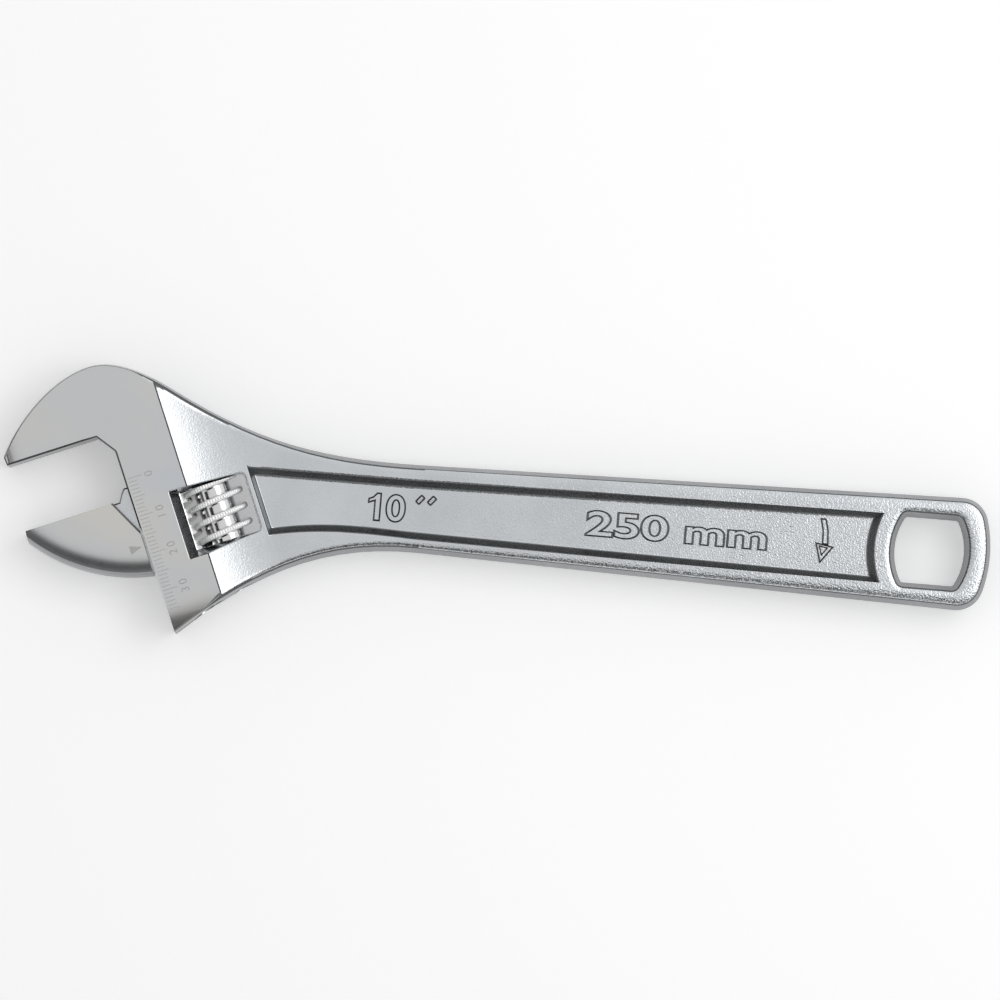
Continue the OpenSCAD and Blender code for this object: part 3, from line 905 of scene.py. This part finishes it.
def joined(parts):
    bm = bmesh.new()
    for part in parts:
        mesh = bpy.data.meshes.new("part")
        part.to_mesh(mesh)
        part.free()
        bm.from_mesh(mesh)
        bpy.data.meshes.remove(mesh)
    return bm


def bar(start, end, width):
    start, end = Vector(start), Vector(end)
    side = (end - start).normalized().orthogonal() * width / 2
    return [start - side, end - side, end + side, start + side]


def raisedText(text, box):
    return fitted(lettering(text, marks["slope"], marks["grow"]), box, raisedTop)


def sizeMark():
    parts = [ridge(marks["one"]), raisedText("0", marks["zero"])]
    (low, high), width = marks["inchY"], marks["inchWidth"] + marks["slope"]
    for x in marks["inchX"]:
        parts.append(ridge(bar((x, low), (x + marks["inchLean"], high), width), marks["inchCorner"]))
    return joined(parts)


def arrowHollow():
    depth = marks["hollowDepth"]
    section = [(0, raisedTop - depth), (-depth, raisedTop + 0.05), (-depth, raisedTop + 1)]
    return layered(corners(marks["arrowHollow"]), lambda spot: section)


def makeRaisedMarks():
    words = raisedText(marks["word"], marks["wordBox"])
    arrow = joined([ridge(marks["shaft"]), ridge(marks["arrow"])])
    for name, bm in (("sizeMark", sizeMark()), ("lengthMark", words), ("arrowMark", arrow)):
        bmesh.ops.recalc_face_normals(bm, faces=bm.faces)
        piece = objectFrom(bm, name, satin, wallPaintedShade)
        if name == "arrowMark":
            carve(piece, arrowHollow())
        # The marks' sloping walls get the dark wall colour, a painted shade.
        for face in piece.data.polygons:
            face.material_index = 1 if face.normal.z < 0.9 else 0
        place(piece, handlePlace, "body")


def inlayBox(x, y, length, width):
    bm, depth = bmesh.new(), marks["inlayDepth"]
    bmesh.ops.create_cube(bm, size=1)
    bmesh.ops.scale(bm, verts=bm.verts, vec=(length, width, depth))
    bmesh.ops.translate(bm, verts=bm.verts, vec=(x + length / 2, y, inlayTop - depth / 2))
    return bm


# A number of the scale, which reads along the head
def scaleNumber(number):
    height = marks["digitHeight"]
    bm = lettering(str(number), 0, 0, marks["inlayDepth"] / 2, marks["digitSpacing"])
    low, high = span(bm)
    wide = (high.x - low.x) * (height / (high.y - low.y))
    bm = fitted(bm, ((-wide / 2, -height / 2), (wide / 2, height / 2)), inlayTop)
    y = marks["tickStart"] + marks["digitShift"] - number
    bmesh.ops.rotate(bm, verts=bm.verts, matrix=Matrix.Rotation(pi / 2, 3, "Z"))
    bmesh.ops.translate(bm, verts=bm.verts, vec=(marks["digitX"], y, 0))
    return bm


def scaleMarks():
    short, middle, long = marks["tickLength"]
    parts = []
    for i in range(marks["ticks"] + 1):
        length = long if i % 10 == 0 else middle if i % 5 == 0 else short
        parts.append(inlayBox(marks["tickX"], marks["tickStart"] - i, length, marks["tickWidth"]))
    return joined(parts + [scaleNumber(number) for number in range(0, marks["ticks"], 10)])


def makeEtchedMarks():
    piece = objectFrom(scaleMarks(), "scaleMarks", etched)
    place(piece, headPlace, "body")
    pointer = prism(corners(marks["pointer"]), inlayTop - marks["inlayDepth"], inlayTop)
    piece = objectFrom(pointer, "jawPointer", etched)
    place(piece, headPlace @ Matrix.Translation((0, jawFaceY, 0)), "jaw")


makeRaisedMarks()
makeEtchedMarks()
print("marks made")


# The moving jaw, with its Y at the gripping face
jaw = {
    "tipX": -28.3, "tipLean": 0.3, "tipHeight": 2.9, "backX": -0.2,
    "bellyX": 7.6, "bellyY": 22.7, "bellyRadius": 44.2, "bellyStart": 198, "bellySteps": 60,
    "hookInside": 18, "bevelWidth": 9.2, "rimWidth": 1.1, "flat": (6, 0.6),
    "rollDrop": 0.7, "rollPower": 3.2, "rollSteps": 14, "rim": ((0.6, 1.9), (0.35, 3)),
    "reliefHeight": 8.7, "reliefWidth": 4.4, "reliefBevel": 0.5,
    "throat": ((-3.1, -0.1), (-1.9, 1.9), (-1, 3)), "neckHalf": 2.5, "neckBevel": 0.4,
    "slideX": 5, "rodRadius": 4.7, "rodTop": 3, "rodBottom": -30.3,
    "grooves": 8, "grooveTop": 1.2, "pitch": 4.2, "rackBottom": 12.38, "lead": 6.15,
    "grooveDepth": 4.1, "grooveHalf": (0.81, 1.47), "grooveReach": 9,
}


# Half the hook's section, from its middle to the rim: flat, a roll that steepens, and the rounded rim
def hookSection():
    inside, outer, bevelWidth = jaw["hookInside"], jaw["bellyRadius"], jaw["bevelWidth"]
    flatEnd, steps = outer - bevelWidth, jaw["rollSteps"]
    points = [(inside, 0), (inside, headFace)] + [(flatEnd - before, headFace) for before in jaw["flat"]]
    for i in range(1, steps + 1):
        share = i / steps
        drop = jaw["rollDrop"] * share ** jaw["rollPower"]
        points.append((flatEnd + (bevelWidth - jaw["rimWidth"]) * share, headFace - drop))
    return points + [(outer - inset, headFace - drop) for inset, drop in jaw["rim"]] + [
        (outer - 0.1, 1.2), (outer, 0)]


def hook():
    bm = bmesh.new()
    verts = [bm.verts.new((x, 0, z)) for x, z in hookSection()]
    edges = [bm.edges.new(pair) for pair in zip(verts, verts[1:])]
    start = Matrix.Rotation(radians(jaw["bellyStart"]), 3, "Z")
    bmesh.ops.rotate(bm, verts=verts, cent=(0, 0, 0), matrix=start)
    bmesh.ops.spin(bm, geom=verts + edges, cent=(0, 0, 0), axis=(0, 0, 1), angle=radians(90),
                   steps=jaw["bellySteps"])
    bmesh.ops.translate(bm, verts=bm.verts, vec=(jaw["bellyX"], jaw["bellyY"], 0))
    mirrorDown(bm)
    bmesh.ops.holes_fill(bm, edges=bm.edges)
    bmesh.ops.recalc_face_normals(bm, faces=bm.faces)
    return inOrder(bm)


def flatCut(bm, start, end):
    along = Vector((end[0] - start[0], end[1] - start[1], 0))
    bisect(bm, (*start, 0), (-along.y, along.x, 0), clearOuter=True, fill=True)


def jawNeck():
    relief, left = jaw["backX"] - jaw["reliefWidth"], jaw["backX"] - jaw["reliefWidth"] - 0.4
    low = jaw["bellyY"] - sqrt(jaw["bellyRadius"] ** 2 - jaw["bellyX"] ** 2) + 0.6
    rod, half, bevel = body["boreX"], jaw["neckHalf"], jaw["neckBevel"]
    points = [(left, -1), (relief, -0.1), *jaw["throat"], (rod, jaw["rodTop"]), (rod, low - 4),
              (jaw["backX"], low), (left, low + 3)]
    section = [(bevel, -half), (0, bevel - half), (0, half - bevel), (bevel, half)]
    return layered(corners(points), lambda spot: section)


def rackGroove(index):
    (narrow, wide), reach = jaw["grooveHalf"], jaw["grooveReach"]
    low, high = jaw["rackBottom"], jaw["rackBottom"] + jaw["grooveDepth"]
    bm = prism(corners([(low, -narrow), (high, -wide), (high, wide), (low, narrow)]), -reach, reach)
    bmesh.ops.rotate(bm, verts=bm.verts, matrix=Matrix.Rotation(radians(-jaw["lead"]), 3, "X"))
    y = jaw["rodTop"] - jaw["grooveTop"] - index * jaw["pitch"]
    bmesh.ops.translate(bm, verts=bm.verts, vec=(0, y, 0))
    return bm


def makeJaw():
    bm = hook()
    tip, back = jaw["tipX"], jaw["backX"]
    relief = back - jaw["reliefWidth"]
    for start, end in [((tip, 0), (relief, 0)), ((relief, 0), (back, -jaw["reliefHeight"])),
                       ((back, 0), (back, -40)), ((tip, -jaw["tipHeight"]), (tip + jaw["tipLean"], 0))]:
        flatCut(bm, start, end)
    slant = Vector((jaw["reliefHeight"], jaw["reliefWidth"], 0)).normalized()
    rim = headFace - jaw["reliefBevel"]
    for side in (-1, 1):
        bisect(bm, (relief, 0, rim * side), slant + Vector((0, 0, side)), clearOuter=True, fill=True)
    bmesh.ops.recalc_face_normals(bm, faces=bm.faces)
    piece = objectFrom(bm, "movingJaw", ground, satin, groundSidePaintedShade, toothed)
    carve(piece, jawNeck(), "UNION")
    rod = rodAlongY(body["boreX"], jaw["rodBottom"], jaw["rodTop"], jaw["rodRadius"])
    carve(piece, rod, "UNION")
    for index in range(jaw["grooves"]):
        carve(piece, rackGroove(index))
    # Painted shade: the jaw's side walls get the darker ground side colours. The neck is satin, the rod and
    # rack get the rack chrome, and the rest is ground.
    for face in piece.data.polygons:
        x, z = face.center.x, abs(face.center.z)
        isNeck = relief < x < jaw["slideX"] and z < jaw["neckHalf"] + 0.1
        isSide = x < back and abs(face.normal.z) < 0.75
        face.material_index = 2 if isSide else 1 if isNeck else 3 if x > jaw["slideX"] else 0
    place(piece, headPlace @ Matrix.Translation((0, jawFaceY, 0)), "jaw")
    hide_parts("movable_jaw")


makeJaw()
print("moving jaw made")


# The worm, with its Y along its axis and its origin at its middle. The profile pairs radii of the thread with
# its half width there.
worm = {
    "length": 15.2, "core": 4.8, "bore": 2.28, "pitch": 4.2, "turns": 5, "start": -10.6,
    "profile": [(4.3, 1.3), (4.8, 1.12), (6.4, 0.86), (7.0, 0.8), (7.3, 0.68), (7.5, 0.48), (7.6, 0.2),
                (7.6, 0)],
    "serrations": 62, "serrationDepth": 0.16, "serrationStart": (6.9, 7.4), "serrationSteps": 6,
    "knurlRadius": 6.98,
}


def wormThread():
    bm = bmesh.new()
    half = worm["profile"]
    points = half + [(r, -w) for r, w in reversed(half[:-1])]
    turns, perTurn = worm["turns"], worm["serrations"] * worm["serrationSteps"]
    verts = [bm.verts.new((-r, w, 0)) for r, w in points]
    edges = [bm.edges.new((verts[i], verts[(i + 1) % len(verts)])) for i in range(len(verts))]
    bmesh.ops.spin(bm, geom=verts + edges, cent=(0, 0, 0), axis=(0, 1, 0), angle=2 * pi * turns,
                   steps=perTurn * turns, dvec=(0, worm["pitch"] / perTurn, 0))
    bmesh.ops.translate(bm, verts=bm.verts, vec=(0, worm["start"], 0))
    for vert in bm.verts:
        radius = hypot(vert.co.x, vert.co.z)
        wave = (1 - cos(worm["serrations"] * atan2(vert.co.z, -vert.co.x))) / 2
        groove = wave ** 3 * blendStep(radius, *worm["serrationStart"])
        vert.co.x *= 1 - groove * worm["serrationDepth"] / radius
        vert.co.z *= 1 - groove * worm["serrationDepth"] / radius
    end = worm["length"] / 2 - 0.05
    for side in (1, -1):
        bisect(bm, (0, end * side, 0), (0, side, 0), clearOuter=True)
    bmesh.ops.holes_fill(bm, edges=bm.edges)
    bmesh.ops.recalc_face_normals(bm, faces=bm.faces)
    return bm


def makeWorm():
    half = worm["length"] / 2
    piece = objectFrom(rodAlongY(0, -half, half, worm["core"], 96), "knurledWorm", bright, knurledPaintedHighlight)
    carve(piece, wormThread(), "UNION")
    carve(piece, rodAlongY(0, -half - 1, half + 1, worm["bore"], 48))
    # The thread's crest past the knurl radius gets the near-white knurled colour, a painted highlight.
    for face in piece.data.polygons:
        face.material_index = 1 if hypot(face.center.x, face.center.z) > worm["knurlRadius"] else 0
    place(piece, headPlace @ Matrix.Translation(wormSpot), "worm")
    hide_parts("knurled_worm")


makeWorm()
print("worm made")


# A solid that keeps its own mesh gets a finish.
def dress(name, material):
    node = frame["nodes"][name]
    node.data.materials.clear()
    node.data.materials.append(material)


dress("worm_pin", pinSteel)
dress("thrust_spring", springSteel)


# Floor and lights: a pale room, a wide soft panel overhead, a brighter one to the right of it, and dark cards
# that give the rolled edges their dark reflections. Sizes are in metres.
studio = {
    "floorColour": (0.93, 0.93, 0.93), "floorWhite": 0.285,
    "horizon": 0.03, "room": 0.5, "roomFrom": (0.04, 0.2), "backdrop": 1.0, "backdropTo": (0.86, 0.7),
    "height": 0.8, "y": (-0.17, 0.6),
    "ceiling": {"x": (-0.5, 0.25), "radiance": 0.35},
    "side": {"x": (0.25, 0.8), "radiance": 1.9},
    "cards": (((-1, -0.49), (0.9, -0.17)), ((-1, -0.17), (-0.5, 0.6))),
}


def panel(name, values):
    data = bpy.data.lights.new(name, "AREA")
    data.shape = "RECTANGLE"
    (left, right), (near, far) = values["x"], studio["y"]
    data.size, data.size_y = right - left, far - near
    data.energy = values["radiance"] * pi * data.size * data.size_y
    light = bpy.data.objects.new(name, data)
    bpy.context.scene.collection.objects.link(light)
    light.location = ((left + right) / 2, (near + far) / 2, studio["height"])
    light.visible_camera = False


# 1 where the camera looks, and where metal or glass shows what the camera would see
def isSeen(tree):
    path = tree.nodes.new("ShaderNodeLightPath")
    seen = path.outputs["Is Camera Ray"]
    for kind in ("Is Glossy Ray", "Is Transmission Ray"):
        either = tree.nodes.new("ShaderNodeMath")
        either.operation = "MAXIMUM"
        tree.links.new(seen, either.inputs[0])
        tree.links.new(path.outputs[kind], either.inputs[1])
        seen = either.outputs["Value"]
    return seen


# The floor looks white to the camera and in the metal, and keeps the shadow.
def floorPaint():
    material, tree, shader = shaderMaterial("floorPaint", studio["floorColour"], 0.9, 0.0)
    strength = ranged(tree, isSeen(tree), 0, studio["floorWhite"], 0, 1)
    tree.links.new(strength, shader.inputs["Emission Strength"])
    shader.inputs["Emission Color"].default_value = (1, 1, 1, 1)
    return material


# A dark card overhead, which only reflections see
def darkCard(low, high):
    bm = bmesh.new()
    bmesh.ops.create_grid(bm, x_segments=1, y_segments=1, size=0.5)
    bmesh.ops.scale(bm, verts=bm.verts, vec=(high[0] - low[0], high[1] - low[1], 1))
    card = objectFrom(bm, "darkCard", shaderMaterial("darkCard", (0.02, 0.02, 0.02), 1, 0.0)[0])
    card.location = ((low[0] + high[0]) / 2, (low[1] + high[1]) / 2, studio["height"])
    card.visible_camera = card.visible_diffuse = card.visible_shadow = False


# The room is dark at the horizon. Half way up it stands as a white backdrop in the metal.
def makeRoom():
    world = bpy.data.worlds.new("studio")
    world.use_nodes = True
    tree = world.node_tree
    upward = component(tree, tree.nodes.new("ShaderNodeTexCoord").outputs["Generated"], "Z")
    rise = ranged(tree, upward, studio["horizon"], studio["room"], *studio["roomFrom"])
    whiter = studio["backdrop"] / studio["room"] - 1
    low = ranged(tree, upward, 0, whiter, *studio["backdropTo"])
    gain = ranged(tree, product(tree, low, isSeen(tree)), 1, 1 + whiter, 0, whiter)
    tree.nodes["Background"].inputs["Color"].default_value = (1, 1, 1, 1)
    tree.links.new(product(tree, rise, gain), tree.nodes["Background"].inputs["Strength"])
    bpy.context.scene.world = world


def makeStudio():
    bm = bmesh.new()
    bmesh.ops.create_grid(bm, x_segments=1, y_segments=1, size=10)
    floor = objectFrom(bm, "floor", floorPaint())
    floor.location.z = -0.0001
    panel("ceilingPanel", studio["ceiling"])
    panel("sidePanel", studio["side"])
    for low, high in studio["cards"]:
        darkCard(low, high)
    makeRoom()


makeStudio()
bpy.context.scene.view_settings.view_transform = "Standard"
print("scene made")
